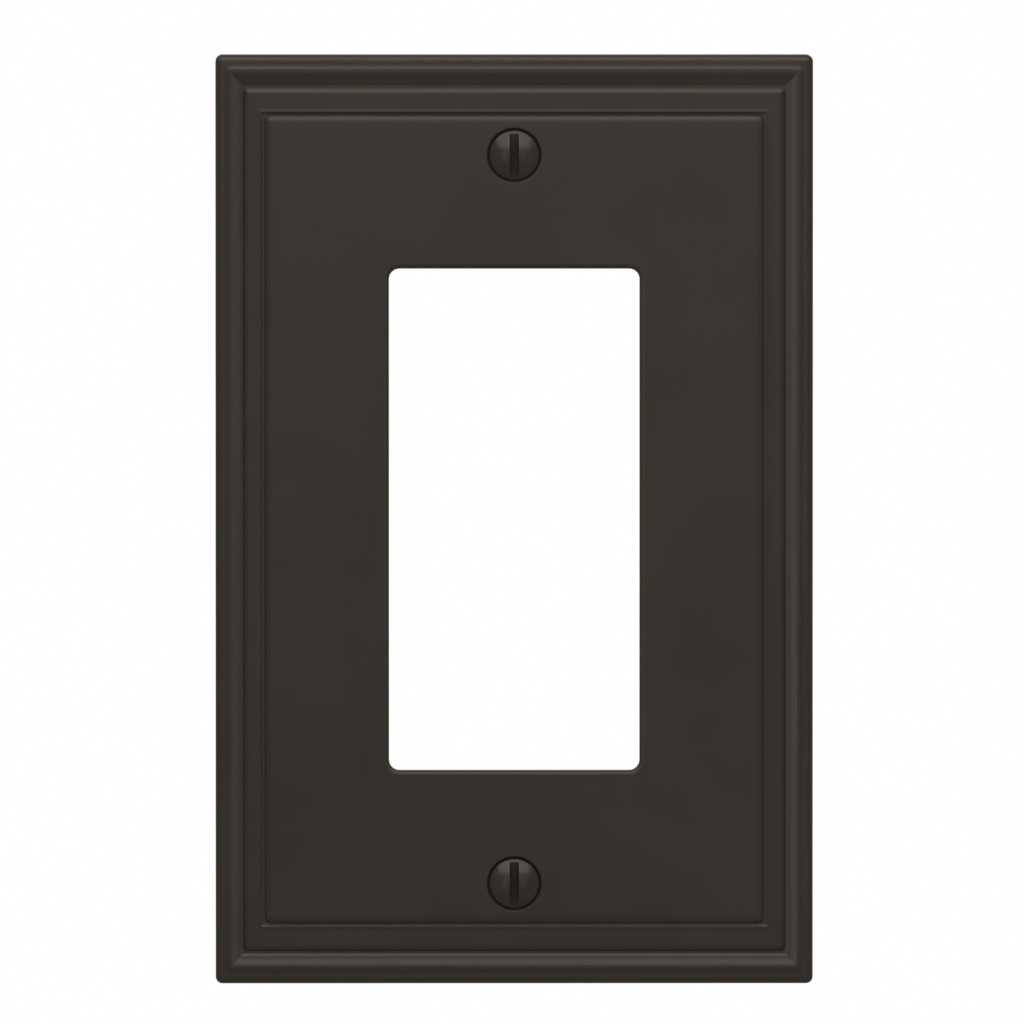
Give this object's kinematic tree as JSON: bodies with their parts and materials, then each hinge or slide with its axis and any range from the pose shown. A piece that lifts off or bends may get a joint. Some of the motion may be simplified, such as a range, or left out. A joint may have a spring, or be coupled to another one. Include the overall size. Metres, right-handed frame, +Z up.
{
  "type": "wall plate cover",
  "caption": "One-gang wall plate for a rectangular switch or outlet, with a moulded border and two slotted screws in a dark bronze finish.",
  "frame": {"origin": "centre of the device opening on the wall plane, midway between the two screws", "axes": "+Z up along the plate's long side, -Y out of the front, towards the room, +X to the right seen from the front"},
  "size_m": [0.0794, 0.0203, 0.1234],
  "materials": {
    "plate_bronze": "satin",
    "screw_bronze": "satin"
  },
  "bodies": {
    "plate": {"wall_plate": "plate_bronze"},
    "upper_screw": {"upper_screw": "screw_bronze"},
    "lower_screw": {"lower_screw": "screw_bronze"}
  },
  "joints": [
    {"name": "upper_screw_back_out", "type": "slide", "parent": "plate", "child": "upper_screw", "axis": [0, -1, 0], "range_m": [0, 0.019]},
    {"name": "lower_screw_back_out", "type": "slide", "parent": "plate", "child": "lower_screw", "axis": [0, -1, 0], "range_m": [0, 0.019]}
  ]
}
